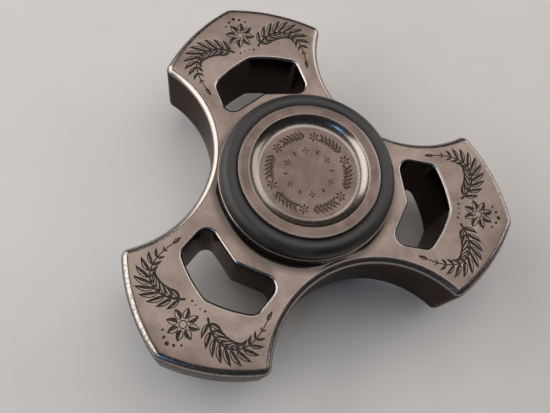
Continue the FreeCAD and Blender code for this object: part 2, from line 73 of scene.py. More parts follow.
# Sizes of the body's outline and edges
COVE = 0.8
FACE = BOSS_TOP - COVE
EDGE_ROUND = 1.0
CORNER_ROUND = 1.1
TIP_ARC = {"reach": 4.55, "offset": 6.55, "radius": 25.25}
WAIST_ARC = {"reach": 26.35, "radius": 13.95}
WINDOW_ARC = {"reach": 2.36, "offset": 3.72, "radius": 17.95}
WINDOW_HALF_WIDTH = 6.0
WINDOW_INNER_APEX = 14.25
WINDOW_INNER_CORNER = 12.42
WINDOW_EDGE_ROUND = 0.45
WINDOW_INNER_ROUND = 1.35
WINDOW_OUTER_ROUND = 1.2
WINDOW_APEX_ROUND = 0.5
BOSS_RADIUS = 10.5
HUB_BORE = 6.4
HUB_BREAK = 0.12
SNAP_GROOVE_RADIUS = 6.75
SNAP_GROOVE_TOP = 3.0
LEDGE_RADIUS = 5.8
SWEEP_FOOT = 12.5
SWEEP_GAP = 0.08
SWEEP_SHARPNESS = 6.0
SWEEP_STEPS = 12
SWEEP_END = 0.96

# Rough places of an arm's corner and tip, to choose between two crossings
ARM_CORNER = (11.2, 22.9)
ARM_TIP = (0, 29.0)

# Sizes of the buttons
DISH_RADIUS = 7.62
DISH_FLOOR_RADIUS = 6.0
DISH_DEPTH = 1.05
RIM_RADIUS = 9.02
DISH_CENTRE_RADIUS = 0.22
LIP_HEIGHT = 7.75
FLANGE_LOW = 6.15
NECK_RADIUS = 4.0
SPIGOT_RADIUS = 3.165
SPIGOT_BEVEL = 0.25
SPIGOT_END = 0.1
STUD_HOLE_RADIUS = 2.0
STUD_HOLE_END = 5.6

# Sizes of the rubber rings
RING_CLEARANCE = 0.02
SEAM_HEIGHT = 0.025
SEAM_SPREAD = 30

# Sizes of the ornament
ORNAMENT_DEPTH = 0.13
ETCH_DEPTH = 0.06
FINE_LINE = 0.13
STEM = ((1.75, 21.45), (4.6, 24.1), (8.9, 23.2), (7.5, 17.3))
STEM_STEPS = 24
LEAF_PAIRS = 11
FLOWER_REACH = 23.9
BERRY_TOP = 26.75
BERRIES = ((26.4, 0.75, 0.19), (25.85, 1.45, 0.15), (21.1, 1.0, 0.15), (21.25, 0.35, 0.1))
OUTER_MARKS = 5.02
INNER_MARKS = 3.0

# Finish slots of a piece
CUT_FINISH = 1

ROUND_STEPS = 10
OUTLINE_STEP = 0.45
TURN_STEPS = 240


# ---------------------------------------------------------------- plane curves


def unit(angle):
    return Vector((math.cos(angle), math.sin(angle)))


def turned(point, angle):
    way = unit(angle)
    return Vector((point[0] * way.x - point[1] * way.y, point[0] * way.y + point[1] * way.x))


def circle_points(radius, steps):
    return [unit(2 * math.pi * number / steps) * radius for number in range(steps)]


class Line:
    """A straight curve with a direction; its left side is at shifted(positive)."""

    def __init__(self, start, end):
        self.start = Vector(start)
        self.way = (Vector(end) - self.start).normalized()

    def left(self):
        return Vector((-self.way.y, self.way.x))

    def shifted(self, gap):
        start = self.start + self.left() * gap
        return Line(start, start + self.way)

    def foot(self, point):
        return self.start + self.way * (point - self.start).dot(self.way)

    def outward(self, point):
        return -self.left()

    def walk(self, start, end, step):
        count = max(1, math.ceil((end - start).length / step))
        return [start.lerp(end, number / count) for number in range(count)]


class Arc:
    """A circle walked anticlockwise (hand 1) or clockwise (hand -1)."""

    def __init__(self, centre, radius, hand):
        self.centre, self.radius, self.hand = Vector(centre), radius, hand

    def shifted(self, gap):
        return Arc(self.centre, self.radius - self.hand * gap, self.hand)

    def foot(self, point):
        return self.centre + (point - self.centre).normalized() * self.radius

    def outward(self, point):
        return (point - self.centre).normalized() * self.hand

    def walk(self, start, end, step):
        first = math.atan2(*(start - self.centre).yx)
        last = math.atan2(*(end - self.centre).yx)
        sweep = (last - first) * self.hand % (2 * math.pi)
        count = max(1, math.ceil(sweep * self.radius / step))
        return [
            self.centre + unit(first + self.hand * sweep * number / count) * self.radius
            for number in range(count)
        ]


def cross_line_line(one, other):
    gap = other.start - one.start
    along = gap.cross(other.way) / one.way.cross(other.way)
    return one.start + one.way * along


def cross_line_arc(line, arc, near):
    foot = line.foot(arc.centre)
    half = math.sqrt(max(arc.radius**2 - (foot - arc.centre).length ** 2, 0.0))
    return min((foot + line.way * half, foot - line.way * half), key=lambda point: (point - near).length)


def cross_arc_arc(one, other, near):
    gap = other.centre - one.centre
    along = (one.radius**2 - other.radius**2 + gap.length**2) / (2 * gap.length)
    half = math.sqrt(max(one.radius**2 - along**2, 0.0))
    way = gap.normalized()
    middle = one.centre + way * along
    side = Vector((-way.y, way.x)) * half
    return min((middle + side, middle - side), key=lambda point: (point - near).length)


def crossing(one, other, near):
    if isinstance(one, Line) and isinstance(other, Line):
        return cross_line_line(one, other)
    if isinstance(one, Line):
        return cross_line_arc(one, other, near)
    if isinstance(other, Line):
        return cross_line_arc(other, one, near)
    return cross_arc_arc(one, other, near)


def rounded_outline(curves, corners):
    """Walk curves with the metal on the left, rounding each corner (near point, radius, turn).

    Corner n lies at the end of curve n; turn is 1 for a corner that sticks out. The outline comes
    back as (point, outward direction) pairs."""
    fillets = []
    for number, (near, radius, turn) in enumerate(corners):
        before, after = curves[number], curves[(number + 1) % len(curves)]
        centre = crossing(before.shifted(turn * radius), after.shifted(turn * radius), Vector(near))
        fillets.append((Arc(centre, radius, turn), before.foot(centre), after.foot(centre)))
    walked = []
    for number, curve in enumerate(curves):
        start = fillets[number - 1][2]
        fillet, leave, join = fillets[number]
        for point in curve.walk(start, leave, OUTLINE_STEP):
            walked.append((point, curve.outward(point)))
        for point in fillet.walk(leave, join, fillet.radius * math.pi / 16):
            walked.append((point, fillet.outward(point)))
    return walked


def inset(outline, depth):
    return [point - outward * depth for point, outward in outline]


def body_outline():
    curves, corners = [], []
    tip, waist = TIP_ARC, WAIST_ARC
    across, along = ARM_CORNER
    for arm in range(ARMS):
        angle = arm * ARM_STEP
        curves.append(Arc(turned((tip["offset"], tip["reach"]), angle), tip["radius"], 1))
        corners.append((turned((-across, along), angle), CORNER_ROUND, 1))
        curves.append(Arc(turned((0, waist["reach"]), angle + ARM_STEP / 2), waist["radius"], -1))
        corners.append((turned((across, along), angle + ARM_STEP), CORNER_ROUND, 1))
        curves.append(Arc(turned((-tip["offset"], tip["reach"]), angle + ARM_STEP), tip["radius"], 1))
        corners.append((turned(ARM_TIP, angle + ARM_STEP), CORNER_ROUND, 1))
    return rounded_outline(curves, corners)


def window_outline(arm):
    """The window of an arm, walked clockwise so that the metal stays on the left."""
    half, arc = WINDOW_HALF_WIDTH, WINDOW_ARC
    side_end = arc["reach"] + math.sqrt(arc["radius"] ** 2 - (half + arc["offset"]) ** 2)
    apex_end = arc["reach"] + math.sqrt(arc["radius"] ** 2 - arc["offset"] ** 2)
    angle = arm * ARM_STEP

    def at(across, along):
        return turned((across, along), angle)

    curves = [
        Line(at(0, WINDOW_INNER_APEX), at(-half, WINDOW_INNER_CORNER)),
        Line(at(-half, WINDOW_INNER_CORNER), at(-half, side_end)),
        Arc(at(arc["offset"], arc["reach"]), arc["radius"], -1),
        Arc(at(-arc["offset"], arc["reach"]), arc["radius"], -1),
        Line(at(half, side_end), at(half, WINDOW_INNER_CORNER)),
        Line(at(half, WINDOW_INNER_CORNER), at(0, WINDOW_INNER_APEX)),
    ]
    corners = [
        (at(-half, WINDOW_INNER_CORNER), WINDOW_INNER_ROUND, -1),
        (at(-half, side_end), WINDOW_OUTER_ROUND, -1),
        (at(0, apex_end), WINDOW_APEX_ROUND, -1),
        (at(half, side_end), WINDOW_OUTER_ROUND, -1),
        (at(half, WINDOW_INNER_CORNER), WINDOW_INNER_ROUND, -1),
        (at(0, WINDOW_INNER_APEX), WINDOW_APEX_ROUND, 1),
    ]
    return rounded_outline(curves, corners)


# ---------------------------------------------------------------- ornament shapes
# A shape is (cut, kept): the outline that is cut into the metal and the islands left standing in it.


def placed(points, origin, heading):
    return [Vector(origin) + turned(point, heading) for point in points]


def mirrored(shapes):
    def flip(outline):
        return [Vector((-point.x, point.y)) for point in outline]

    return [(flip(cut), [flip(island) for island in kept]) for cut, kept in shapes]


def moved(shapes, angle):
    def move(outline):
        return [turned(point, angle) for point in outline]

    return [(move(cut), [move(island) for island in kept]) for cut, kept in shapes]


def dot(centre, radius, steps=12):
    return [Vector(centre) + point for point in circle_points(radius, steps)]


def ring_shape(centre, outer, inner, steps):
    return dot(centre, outer, steps), [dot(centre, inner, steps)]


def leaf_half(share, width):
    return 0.5 * width * math.sin(math.pi * share**0.8) ** 0.9


def leaf(origin, heading, length, width, bend=0.0):
    """A pointed leaf with a dark half, a light half and a fine line all round."""
    steps = 9

    def spine(share):
        return bend * length * 4 * share * (1 - share)

    shares = [number / steps for number in range(steps + 1)]
    left = [(share * length, spine(share) + leaf_half(share, width)) for share in shares]
    right = [(share * length, spine(share) - leaf_half(share, width)) for share in shares[1:-1]]
    cut = placed(left + right[::-1], origin, heading)
    inner = [share for share in shares if leaf_half(share, width) > FINE_LINE * 1.5]
    rib = [(share * length, spine(share) + FINE_LINE * 0.35) for share in inner]
    edge = [(share * length, spine(share) + leaf_half(share, width) - FINE_LINE) for share in inner]
    return cut, [placed(rib + edge[::-1], origin, heading)]


def stroke(path, start_width, end_width):
    """A tapered line along a path of points."""
    left, right = [], []
    for number, point in enumerate(path):
        before = path[max(number - 1, 0)]
        after = path[min(number + 1, len(path) - 1)]
        way = (after - before).normalized()
        half = 0.5 * (start_width + (end_width - start_width) * number / (len(path) - 1))
        side = Vector((-way.y, way.x)) * half
        left.append(point + side)
        right.append(point - side)
    return left + right[::-1], []


def rosette(centre, radius, petals):
    """Petals round a ringed eye."""
    eye = radius * 0.26
    shapes = []
    for petal in range(petals):
        heading = 2 * math.pi * (petal + 0.5) / petals
        origin = Vector(centre) + unit(heading) * (eye + FINE_LINE * 0.6)
        length = radius - eye - FINE_LINE * 0.6
        shapes.append(leaf(origin, heading, length, length * 0.62))
    shapes.append(ring_shape(centre, eye, eye - FINE_LINE, 16))
    return shapes


def bezier(points, share):
    while len(points) > 1:
        points = [one.lerp(other, share) for one, other in zip(points, points[1:])]
    return points[0]


def arm_ornament():
    """A rosette between two leafy sprays, for the flat between an arm's window and its tip."""
    stem = [Vector(point) for point in STEM]
    path = [bezier(stem, number / STEM_STEPS) for number in range(STEM_STEPS + 1)]
    spray = []
    for pair in reversed(range(LEAF_PAIRS)):
        share = 0.06 + 0.86 * pair / (LEAF_PAIRS - 1)
        point = bezier(stem, share)
        way = bezier(stem, min(share + 0.02, 1)) - bezier(stem, share - 0.02)
        heading = math.atan2(way.y, way.x)
        size = 2.48 - 3.9 * (share - 0.4) ** 2 - 1.1 * max(share - 0.7, 0) / 0.3
        hollow = size * (0.95 - 0.42 * math.exp(-(((share - 0.6) / 0.22) ** 2)))
        spray.append(leaf(point, heading + 0.7, size, size * 0.3, 0.07))
        spray.append(leaf(point, heading - 0.75, hollow, hollow * 0.33, -0.07))
    spray.append(stroke(path, 0.3, 0.13))
    end_way = path[-1] - path[-2]
    spray.append(leaf(path[-1], math.atan2(end_way.y, end_way.x), 1.4, 0.5))
    berries = [(dot((across, along), radius), []) for along, across, radius in BERRIES]
    shapes = spray + berries + mirrored(spray + berries)
    shapes.append((dot((0, BERRY_TOP), 0.27), []))
    return shapes + rosette((0, FLOWER_REACH), 2.1, 8)


def button_ornament():
    """Two rings of small marks on the floor of the dish."""
    shapes = []
    rosettes, leaves = 6, 6
    for number in range(rosettes):
        angle = 2 * math.pi * number / rosettes
        for step in range(leaves):
            turn = angle + math.radians(13.5 + 6.1 * step)
            for side in (1, -1):
                heading = turn + math.pi / 2 - side * 0.75
                shapes.append((leaf(unit(turn) * OUTER_MARKS, heading, 1.02, 0.33, 0.08 * side)[0], []))
        shapes += solid_rosette(unit(angle) * OUTER_MARKS, 0.74, 6, angle)
    marks = 12
    diamond = [(-0.4, 0), (0, -0.17), (0.4, 0), (0, 0.17)]
    for number in range(marks):
        angle = 2 * math.pi * (number + 0.5) / marks
        if number % 2:
            shapes.append((placed(diamond, unit(angle) * INNER_MARKS, angle), []))
        else:
            shapes += solid_rosette(unit(angle) * INNER_MARKS, 0.5, 4, angle)
    return shapes


def solid_rosette(centre, radius, petals, spin):
    shapes = [(dot(centre, radius * 0.2, 10), [])]
    for petal in range(petals):
        heading = spin + 2 * math.pi * petal / petals
        origin = Vector(centre) + unit(heading) * radius * 0.28
        shapes.append((leaf(origin, heading, radius * 0.72, radius * 0.4)[0], []))
    return shapes


# ---------------------------------------------------------------- mesh building


class Maker:
    """Collects a mesh in millimetres, ring by ring and face by face."""

    def __init__(self):
        self.points, self.faces, self.finishes, self.smooths = [], [], [], []

    def add_points(self, points):
        first = len(self.points)
        self.points += [tuple(point) for point in points]
        return list(range(first, len(self.points)))

    def ring(self, outline, height):
        return self.add_points((point.x, point.y, height) for point in outline)

    def circle(self, radius, height):
        return self.ring(circle_points(radius, TURN_STEPS), height)

    def face(self, corners, finish=0, smooth=True):
        self.faces.append(tuple(corners))
        self.finishes.append(finish)
        self.smooths.append(smooth)

    def strip(self, one, other):
        """Quads between two closed rings; the metal is on the left of a walk along one, above other."""
        for number in range(len(one)):
            after = (number + 1) % len(one)
            self.face((one[number], other[number], other[after], one[after]))

    def strips(self, rings):
        for one, other in zip(rings, rings[1:]):
            self.strip(one, other)

    def lathe(self, profile, start=None, end=None):
        """Turn a profile, walked with the metal on its left. start and end are rings already made."""
        rings = [self.circle(radius, height) for radius, height in profile]
        if start:
            rings = [start] + rings
        if end:
            rings = rings + [end]
        for one, other in zip(rings, rings[1:]):
            self.strip(other, one)
        return rings

    def flat(self, loops, shapes, height, up, depth):
        """A flat face between loops (ring, outline), the first outside, with shapes cut into it."""
        plan = FlatPlan([outline for ring, outline in loops], shapes)
        ring_points = [number for ring, outline in loops for number in ring]
        top = {}
        floor = {}

        def top_point(number):
            if number not in top:
                loop_point = plan.loop_point[number]
                if loop_point is not None:
                    top[number] = ring_points[loop_point]
                else:
                    top[number] = self.add_points([(*plan.points[number], height)])[0]
            return top[number]

        def floor_point(number):
            if number not in floor:
                floor[number] = self.add_points([(*plan.points[number], height - up * depth)])[0]
            return floor[number]

        for triangle, sunk in plan.triangles:
            corners = triangle if up > 0 else triangle[::-1]
            chosen = floor_point if sunk else top_point
            self.face([chosen(number) for number in corners], CUT_FINISH if sunk else 0, smooth=False)
        for one, other in plan.walls:
            wall = (top_point(one), floor_point(one), floor_point(other), top_point(other))
            self.face(wall if up > 0 else wall[::-1], CUT_FINISH, smooth=False)

    def build(self, name, materials, flip=False, sharp=35.0):
        """The finished object. flip turns the piece over about X."""
        turn = -1.0 if flip else 1.0
        mesh = bpy.data.meshes.new(name)
        points = [(x * MM, y * turn * MM, z * turn * MM) for x, y, z in self.points]
        mesh.from_pydata(points, [], self.faces)
        mesh.polygons.foreach_set("material_index", self.finishes)
        mesh.polygons.foreach_set("use_smooth", self.smooths)
        mesh.set_sharp_from_angle(angle=math.radians(sharp))
        for material in materials:
            mesh.materials.append(material)
        mesh.validate()
        mesh.update()
        piece = bpy.data.objects.new(name, mesh)
        bpy.context.scene.collection.objects.link(piece)
        return piece


def signed_area(outline):
    return 0.5 * sum(one.cross(other) for one, other in zip(outline, outline[1:] + outline[:1]))


class FlatPlan:
    """The triangles of a flat face: loops bound it, and shapes mark the triangles that are sunk."""

    def __init__(self, loops, shapes):
        points, edges, outlines, kinds = [], [], [], []
        for number, loop in enumerate(loops):
            self.note(points, edges, outlines, loop)
            kinds.append(("bound", number))
        loop_count = len(points)
        for number, (cut, kept) in enumerate(shapes):
            self.note(points, edges, outlines, cut)
            kinds.append(("cut", number))
            for island in kept:
                self.note(points, edges, outlines, island)
                kinds.append(("kept", number))
        found = delaunay_2d_cdt(points, edges, outlines, 0, 1e-6, True)
        self.points, triangles, sources, regions = found[0], found[2], found[3], found[5]
        self.loop_point = [next((one for one in source if one < loop_count), None) for source in sources]
        self.triangles = []
        for triangle, region in zip(triangles, regions):
            inside = {kinds[one] for one in region}
            bounds = {number for kind, number in inside if kind == "bound"}
            if bounds != {0}:
                continue
            cuts = [number for kind, number in inside if kind == "cut"]
            self.triangles.append((tuple(triangle), bool(cuts) and ("kept", max(cuts)) not in inside))
        self.walls = self.find_walls()

    @staticmethod
    def note(points, edges, outlines, outline):
        first = len(points)
        corners = list(range(first, first + len(outline)))
        points.extend(Vector(point) for point in outline)
        edges.extend(zip(corners, corners[1:] + corners[:1]))
        outlines.append(corners if signed_area(outline) > 0 else corners[::-1])

    def find_walls(self):
        """Edges with sunk metal on their left and standing metal on their right."""
        level = {}
        for triangle, sunk in self.triangles:
            for one, other in zip(triangle, triangle[1:] + triangle[:1]):
                level[one, other] = sunk
        return [edge for edge, sunk in level.items() if sunk and level.get(edge[::-1]) is False]


def arc_points(centre, radius, first, last, steps):
    """Points of an arc in a profile, from one angle to another in degrees."""
    angles = [math.radians(first + (last - first) * number / steps) for number in range(steps + 1)]
    return [(centre[0] + radius * math.cos(angle), centre[1] + radius * math.sin(angle)) for angle in angles]


# ---------------------------------------------------------------- materials


def material_tree(name):
    material = bpy.data.materials.new(name)
    material.use_nodes = True
    tree = material.node_tree
    shader = tree.nodes["Principled BSDF"]
    place = tree.nodes.new("ShaderNodeTexCoord").outputs["Object"]
    return material, tree, shader, place


def noise(tree, place, size, detail=4.0, stretch=(1, 1, 1), spin=0.0, warp=0.0):
    """Noise whose features measure about size millimetres."""
    mapping = tree.nodes.new("ShaderNodeMapping")
    mapping.inputs["Scale"].default_value = stretch
    mapping.inputs["Rotation"].default_value = (0, 0, spin)
    tree.links.new(place, mapping.inputs["Vector"])
    texture = tree.nodes.new("ShaderNodeTexNoise")
    texture.inputs["Scale"].default_value = 1 / (size * MM)
    texture.inputs["Detail"].default_value = detail
    texture.inputs["Distortion"].default_value = warp
    tree.links.new(mapping.outputs["Vector"], texture.inputs["Vector"])
    return texture.outputs["Fac"]


def fitted(tree, source, low, high, to_low=0.0, to_high=1.0):
    """The source's range low to high spread over to_low to to_high, held at both ends."""
    spread = tree.nodes.new("ShaderNodeMapRange")
    for name, number in (("From Min", low), ("From Max", high), ("To Min", to_low), ("To Max", to_high)):
        spread.inputs[name].default_value = number
    tree.links.new(source, spread.inputs["Value"])
    return spread.outputs["Result"]


def blended(tree, share, one, other):
    """Colours or sources mixed by share."""
    mix = tree.nodes.new("ShaderNodeMix")
    mix.data_type = "RGBA"
    tree.links.new(share, mix.inputs["Factor"])
    for socket, source in ((mix.inputs[6], one), (mix.inputs[7], other)):
        if isinstance(source, tuple):
            socket.default_value = (*source, 1)
        else:
            tree.links.new(source, socket)
    return mix.outputs[2]


def joined(tree, kind, one, other):
    math_node = tree.nodes.new("ShaderNodeMath")
    math_node.operation = kind
    for socket, source in zip(math_node.inputs, (one, other)):
        if isinstance(source, (int, float)):
            socket.default_value = source
        else:
            tree.links.new(source, socket)
    return math_node.outputs["Value"]


def bumped(tree, shader, height, distance, strength=1.0):
    bump = tree.nodes.new("ShaderNodeBump")
    bump.inputs["Strength"].default_value = strength
    bump.inputs["Distance"].default_value = distance * MM
    tree.links.new(height, bump.inputs["Height"])
    tree.links.new(bump.outputs["Normal"], shader.inputs["Normal"])


def upness(tree):
    """How square a face is to the spin axis: 1 on the flats, 0 on upright walls."""
    normal = tree.nodes.new("ShaderNodeNewGeometry").outputs["Normal"]
    parts = tree.nodes.new("ShaderNodeSeparateXYZ")
    tree.links.new(normal, parts.inputs["Vector"])
    return joined(tree, "ABSOLUTE", parts.outputs["Z"], 0)


def reach_from_axis(tree, place):
    flat = tree.nodes.new("ShaderNodeVectorMath")
    flat.operation = "MULTIPLY"
    flat.inputs[1].default_value = (1, 1, 0)
    tree.links.new(place, flat.inputs[0])
    reach = tree.nodes.new("ShaderNodeVectorMath")
    reach.operation = "LENGTH"
    tree.links.new(flat.outputs["Vector"], reach.inputs[0])
    return reach.outputs["Value"]


PIT_COLOUR = (0.11, 0.09, 0.08)
# Painted shade: colour of the dark line painted where the flats turn into the roundings.
EDGE_SHADE_COLOUR = (0.05, 0.042, 0.036)
# Painted shade: colour of the dark zone painted round the hub beneath the button.
HUB_SHADE_COLOUR = (0.08, 0.065, 0.058)
STEEL_GLANCE = (0.58, 0.54, 0.52, 1)


def worn_steel_with_painted_shade(name, face, tarnish, edge, wall):
    """Stainless steel: satin tarnished flats and polished, pitted edges, with painted shade: smooth upright
    walls painted dark as a stand-in for the dark surroundings they reflect, a dark line painted where the
    flats meet the roundings, and a dark zone painted round the hub beneath the button.
    """
    material, tree, shader, place = material_tree(name)
    up = upness(tree)
    grain = noise(tree, place, 0.3, 4)
    clouds = fitted(tree, noise(tree, place, 6.0, 5, warp=0.8), 0.36, 0.66)
    patches = joined(tree, "MULTIPLY", clouds, fitted(tree, grain, 0.32, 0.66, 0.7, 1.0))
    along = noise(tree, place, 0.14, 2, (1, 0.03, 1), 0.5)
    across = noise(tree, place, 0.17, 2, (0.025, 1, 1), 0.9)
    scratches = joined(tree, "ADD", fitted(tree, along, 0.63, 0.74), fitted(tree, across, 0.65, 0.76))
    surface = blended(tree, patches, face, tarnish)
    surface = blended(tree, fitted(tree, scratches, 0, 1, 0, 0.22), surface, edge)
    tilt = joined(tree, "ADD", up, fitted(tree, grain, 0.3, 0.7, -0.001, 0.006))
    flatness = fitted(tree, tilt, 0.985, 0.9985)
    reach = reach_from_axis(tree, place)
    pitted = fitted(tree, noise(tree, place, 0.32, 5), 0.46, 0.62)
    pitted = joined(tree, "MULTIPLY", pitted, fitted(tree, reach, 21.5 * MM, 25 * MM, 0.1, 0.45))
    # Painted reflection: upright walls get the dark wall colour, standing in for the dark surroundings they
    # reflect; the roundings get the polished edge colour with pits.
    rounded = blended(tree, fitted(tree, up, 0.15, 0.6), wall, blended(tree, pitted, edge, PIT_COLOUR))
    # Painted shade: a narrow band where the flat turns into the rounding is coloured dark, standing in for
    # the dark line of reflection there.
    edge_shade_line = joined(tree, "MULTIPLY", fitted(tree, up, 0.95, 0.985), fitted(tree, flatness, 0, 0.9, 0.75, 0))
    rounded = blended(tree, edge_shade_line, rounded, EDGE_SHADE_COLOUR)
    parts = tree.nodes.new("ShaderNodeSeparateXYZ")
    tree.links.new(place, parts.inputs["Vector"])
    level = joined(tree, "ABSOLUTE", parts.outputs["Z"], 0)
    above = fitted(tree, level, (FACE - 0.05) * MM, (FACE - 0.005) * MM)
    # Painted shade: flats and sweep at or above the face level are coloured dark within 11.9 mm of the axis,
    # fading out by 12.7 mm, where the button's shade and dark reflection fall; this zone also gets a lower
    # roughness.
    hub = joined(tree, "MULTIPLY", fitted(tree, reach, 11.9 * MM, 12.7 * MM, 1, 0), above)
    colour = blended(tree, hub, blended(tree, flatness, rounded, surface), HUB_SHADE_COLOUR)
    tree.links.new(colour, shader.inputs["Base Color"])
    shader.inputs["Metallic"].default_value = 1.0
    shader.inputs["Specular Tint"].default_value = STEEL_GLANCE
    satin = joined(tree, "ADD", fitted(tree, clouds, 0, 1, 0.25, 0.35), fitted(tree, scratches, 0, 2, 0, 0.1))
    polish = fitted(tree, grain, 0.3, 0.7, 0.17, 0.27)
    polish = joined(tree, "ADD", polish, fitted(tree, pitted, 0, 1, 0, 0.3))
    rough = joined(tree, "MULTIPLY", blended(tree, flatness, polish, satin), fitted(tree, hub, 0, 1, 1, 0.6))
    tree.links.new(rough, shader.inputs["Roughness"])
    relief = joined(tree, "SUBTRACT", fitted(tree, grain, 0.2, 0.8, 0, 0.35), scratches)
    bumped(tree, shader, relief, 0.002, 0.6)
    return material


def etched_floor(name, dark, light):
    """The rough, oxidised floor of an engraved line."""
    material, tree, shader, place = material_tree(name)
    speckle = fitted(tree, noise(tree, place, 0.3, 4), 0.35, 0.7)
    tree.links.new(blended(tree, speckle, dark, light), shader.inputs["Base Color"])
    shader.inputs["Metallic"].default_value = 0.35
    tree.links.new(fitted(tree, speckle, 0, 1, 0.75, 0.5), shader.inputs["Roughness"])
    bumped(tree, shader, speckle, 0.01, 0.7)
    return material


def turned_steel(name, face, tarnish, edge):
    """Lathe-turned steel: faint rings on its satin flats, polished bevels and hollows."""
    material, tree, shader, place = material_tree(name)
    flatness = fitted(tree, upness(tree), 0.965, 0.995)
    reach = reach_from_axis(tree, place)
    rings = tree.nodes.new("ShaderNodeTexNoise")
    rings.noise_dimensions = "1D"
    rings.inputs["Scale"].default_value = 1 / (0.12 * MM)
    rings.inputs["Detail"].default_value = 2
    tree.links.new(reach, rings.inputs["W"])
    grain = noise(tree, place, 0.22, 4)
    clouds = fitted(tree, noise(tree, place, 2.6, 5, warp=0.6), 0.38, 0.66)
    mottle = joined(tree, "MULTIPLY", clouds, fitted(tree, grain, 0.32, 0.66, 0.5, 1.0))
    surface = blended(tree, mottle, face, tarnish)
    tree.links.new(blended(tree, flatness, edge, surface), shader.inputs["Base Color"])
    shader.inputs["Metallic"].default_value = 1.0
    satin = fitted(tree, clouds, 0, 1, 0.34, 0.46)
    polish = fitted(tree, grain, 0.3, 0.7, 0.2, 0.3)
    tree.links.new(blended(tree, flatness, polish, satin), shader.inputs["Roughness"])
    turning = joined(tree, "MULTIPLY", rings.outputs["Fac"], fitted(tree, reach, 0.3 * MM, 2.0 * MM, 0, 0.35))
    relief = joined(tree, "ADD", turning, fitted(tree, grain, 0.2, 0.8))
    bumped(tree, shader, relief, 0.0012, 0.5)
    return material


def rubber(name):
    """Black rubber with a faint bloom and a few specks of dust."""
    material, tree, shader, place = material_tree(name)
    bloom = fitted(tree, noise(tree, place, 4.0, 5), 0.35, 0.7)
    body = blended(tree, bloom, (0.0135, 0.0118, 0.0113), (0.026, 0.0235, 0.0222))
    dust = fitted(tree, noise(tree, place, 0.5, 2, (1, 1, 1.6)), 0.76, 0.8)
    tree.links.new(blended(tree, dust, body, (0.16, 0.15, 0.14)), shader.inputs["Base Color"])
    tree.links.new(fitted(tree, bloom, 0, 1, 0.42, 0.56), shader.inputs["Roughness"])
    bumped(tree, shader, noise(tree, place, 0.12, 4), 0.004, 0.5)
    return material


def inner_metal(name, light, dark, rough, size=0.6):
    """Ground or drawn metal of the hidden pieces."""
    material, tree, shader, place = material_tree(name)
    grain = fitted(tree, noise(tree, place, size, 4, (1, 1, 6)), 0.3, 0.7)
    tree.links.new(blended(tree, grain, light, dark), shader.inputs["Base Color"])
    shader.inputs["Metallic"].default_value = 1.0
    tree.links.new(fitted(tree, grain, 0, 1, *rough), shader.inputs["Roughness"])
    bumped(tree, shader, grain, 0.002, 0.4)
    return material


# The last colour, for the upright walls, is a painted dark reflection.
BODY_STEEL = worn_steel_with_painted_shade(
    "body_steel", (0.21, 0.165, 0.144), (0.135, 0.103, 0.089), (0.42, 0.375, 0.35), (0.055, 0.046, 0.042)
)
BODY_ETCH = etched_floor("body_etch", (0.014, 0.01, 0.008), (0.05, 0.038, 0.031))
BUTTON_STEEL = turned_steel("button_steel", (0.152, 0.113, 0.099), (0.122, 0.089, 0.077), (0.3, 0.265, 0.24))
BUTTON_ETCH = etched_floor("button_etch", (0.05, 0.032, 0.023), (0.09, 0.062, 0.047))
RING_RUBBER = rubber("ring_rubber")
INNER_METALS = {
    "bearing_steel": inner_metal("bearing_steel", (0.66, 0.66, 0.65), (0.52, 0.52, 0.51), (0.12, 0.24)),
    "ball_steel": inner_metal("ball_steel", (0.78, 0.78, 0.77), (0.68, 0.68, 0.67), (0.04, 0.1)),
    "cage_brass": inner_metal("cage_brass", (0.72, 0.52, 0.24), (0.55, 0.38, 0.16), (0.22, 0.36)),
    "spring_steel": inner_metal("spring_steel", (0.3, 0.29, 0.28), (0.16, 0.15, 0.15), (0.3, 0.45)),
    "shield_steel": inner_metal("shield_steel", (0.6, 0.6, 0.58), (0.46, 0.45, 0.44), (0.25, 0.4)),
    "spacer_steel": inner_metal("spacer_steel", (0.56, 0.55, 0.53), (0.4, 0.39, 0.37), (0.2, 0.34)),
    "stud_steel": inner_metal("stud_steel", (0.09, 0.09, 0.095), (0.045, 0.045, 0.048), (0.4, 0.55)),
}


# ---------------------------------------------------------------- spinner body


def rounding_rings(maker, outline, radius):
    """Rings down one wall: upper rounding, wall and lower rounding. First and last bound the flats."""
    rings = []
    for side in (1, -1):
        for step in range(ROUND_STEPS + 1):
            share = (ROUND_STEPS - step if side > 0 else step) / ROUND_STEPS
            angle = share * math.pi / 2
            depth = radius * (1 - math.cos(angle))
            height = side * (FACE - radius + radius * math.sin(angle))
            rings.append(maker.ring(inset(outline, depth), height))
    maker.strips(rings)
    return rings[0], rings[-1]


def sweep_foot(angle):
    """How far from the axis the hub's sweep ends on the flat, which is less at the waists."""
    off = (angle - ARM_STEP / 4 + ARM_STEP / 2) % ARM_STEP - ARM_STEP / 2
    reach, radius = WAIST_ARC["reach"], WAIST_ARC["radius"] + EDGE_ROUND
    if reach * abs(math.sin(off)) >= radius:
        return SWEEP_FOOT
    edge = reach * math.cos(off) - math.sqrt(radius**2 - (reach * math.sin(off)) ** 2) - SWEEP_GAP
    least = min(edge, SWEEP_FOOT)
    spread = sum(math.exp(-SWEEP_SHARPNESS * (foot - least)) for foot in (edge, SWEEP_FOOT))
    return least - math.log(spread) / SWEEP_SHARPNESS


def sweep_outline(share):
    """The hub's sweep seen from above: share goes from 0 on the flat to 1 at the boss."""
    angles = [2 * math.pi * number / TURN_STEPS for number in range(TURN_STEPS)]
    out = 1 - math.sin(share * math.pi / 2)
    return [unit(angle) * (BOSS_RADIUS + (sweep_foot(angle) - BOSS_RADIUS) * out) for angle in angles]


def sweep_rings(maker, side):
    """Rings of the hub's sweep, from the flat up to the boss."""
    shares = [SWEEP_END * number / SWEEP_STEPS for number in range(SWEEP_STEPS + 1)]
    heights = [FACE + COVE * (1 - math.cos(share * math.pi / 2)) for share in shares]
    return [maker.ring(sweep_outline(share), side * height) for share, height in zip(shares, heights)]


